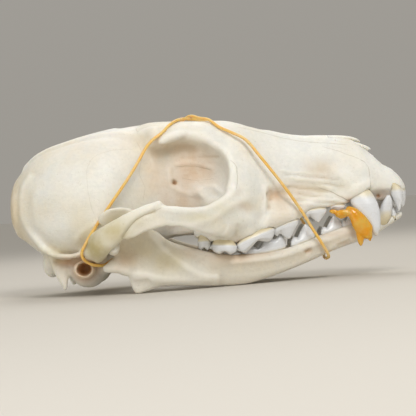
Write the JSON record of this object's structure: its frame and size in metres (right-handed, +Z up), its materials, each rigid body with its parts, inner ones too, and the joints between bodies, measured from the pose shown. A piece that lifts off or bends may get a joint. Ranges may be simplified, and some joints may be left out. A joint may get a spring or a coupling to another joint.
{
  "type": "fox skull",
  "caption": "Cleaned fox skull with its toothed lower jaw, held shut by a thin rubber band that crosses over the forehead, with a glossy amber lump on one canine.",
  "frame": {"origin": "centre of the footprint of the bounding box, on the surface the lower jaw rests on", "axes": "+X to the snout, +Y to the animal's left, +Z up; the skull rests on its lower jaw, a little nose down"},
  "size_m": [0.1231, 0.066, 0.0537],
  "materials": {
    "bone": "dry cleaned bone, matt with a slight sheen",
    "jaw_bone": "dry cleaned bone, a little yellower than the cranium",
    "enamel": "smooth, glossy tooth enamel",
    "rubber": "slightly translucent natural rubber",
    "amber": "glossy translucent amber"
  },
  "bodies": {
    "root": {"cranium": "bone", "right_mandible": "jaw_bone", "right_upper_canine": "enamel", "right_upper_incisor_1": "enamel", "right_upper_incisor_2": "enamel", "right_upper_incisor_3": "enamel", "right_upper_premolar_1": "enamel", "right_upper_premolar_2": "enamel", "right_upper_premolar_3": "enamel", "right_upper_carnassial": "enamel", "right_upper_molar_1": "enamel", "right_upper_molar_2": "enamel", "right_lower_canine": "enamel", "right_lower_incisor_1": "enamel", "right_lower_incisor_2": "enamel", "right_lower_incisor_3": "enamel", "right_lower_premolar_1": "enamel", "right_lower_premolar_2": "enamel", "right_lower_premolar_3": "enamel", "right_lower_premolar_4": "enamel", "right_lower_carnassial": "enamel", "right_lower_molar_2": "enamel", "right_lower_molar_3": "enamel", "left_mandible": "jaw_bone", "left_upper_canine": "enamel", "left_upper_incisor_1": "enamel", "left_upper_incisor_2": "enamel", "left_upper_incisor_3": "enamel", "left_upper_premolar_1": "enamel", "left_upper_premolar_2": "enamel", "left_upper_premolar_3": "enamel", "left_upper_carnassial": "enamel", "left_upper_molar_1": "enamel", "left_upper_molar_2": "enamel", "left_lower_canine": "enamel", "left_lower_incisor_1": "enamel", "left_lower_incisor_2": "enamel", "left_lower_incisor_3": "enamel", "left_lower_premolar_1": "enamel", "left_lower_premolar_2": "enamel", "left_lower_premolar_3": "enamel", "left_lower_premolar_4": "enamel", "left_lower_carnassial": "enamel", "left_lower_molar_2": "enamel", "left_lower_molar_3": "enamel", "rubber_band": "rubber", "amber_glue": "amber"}
  },
  "joints": []
}
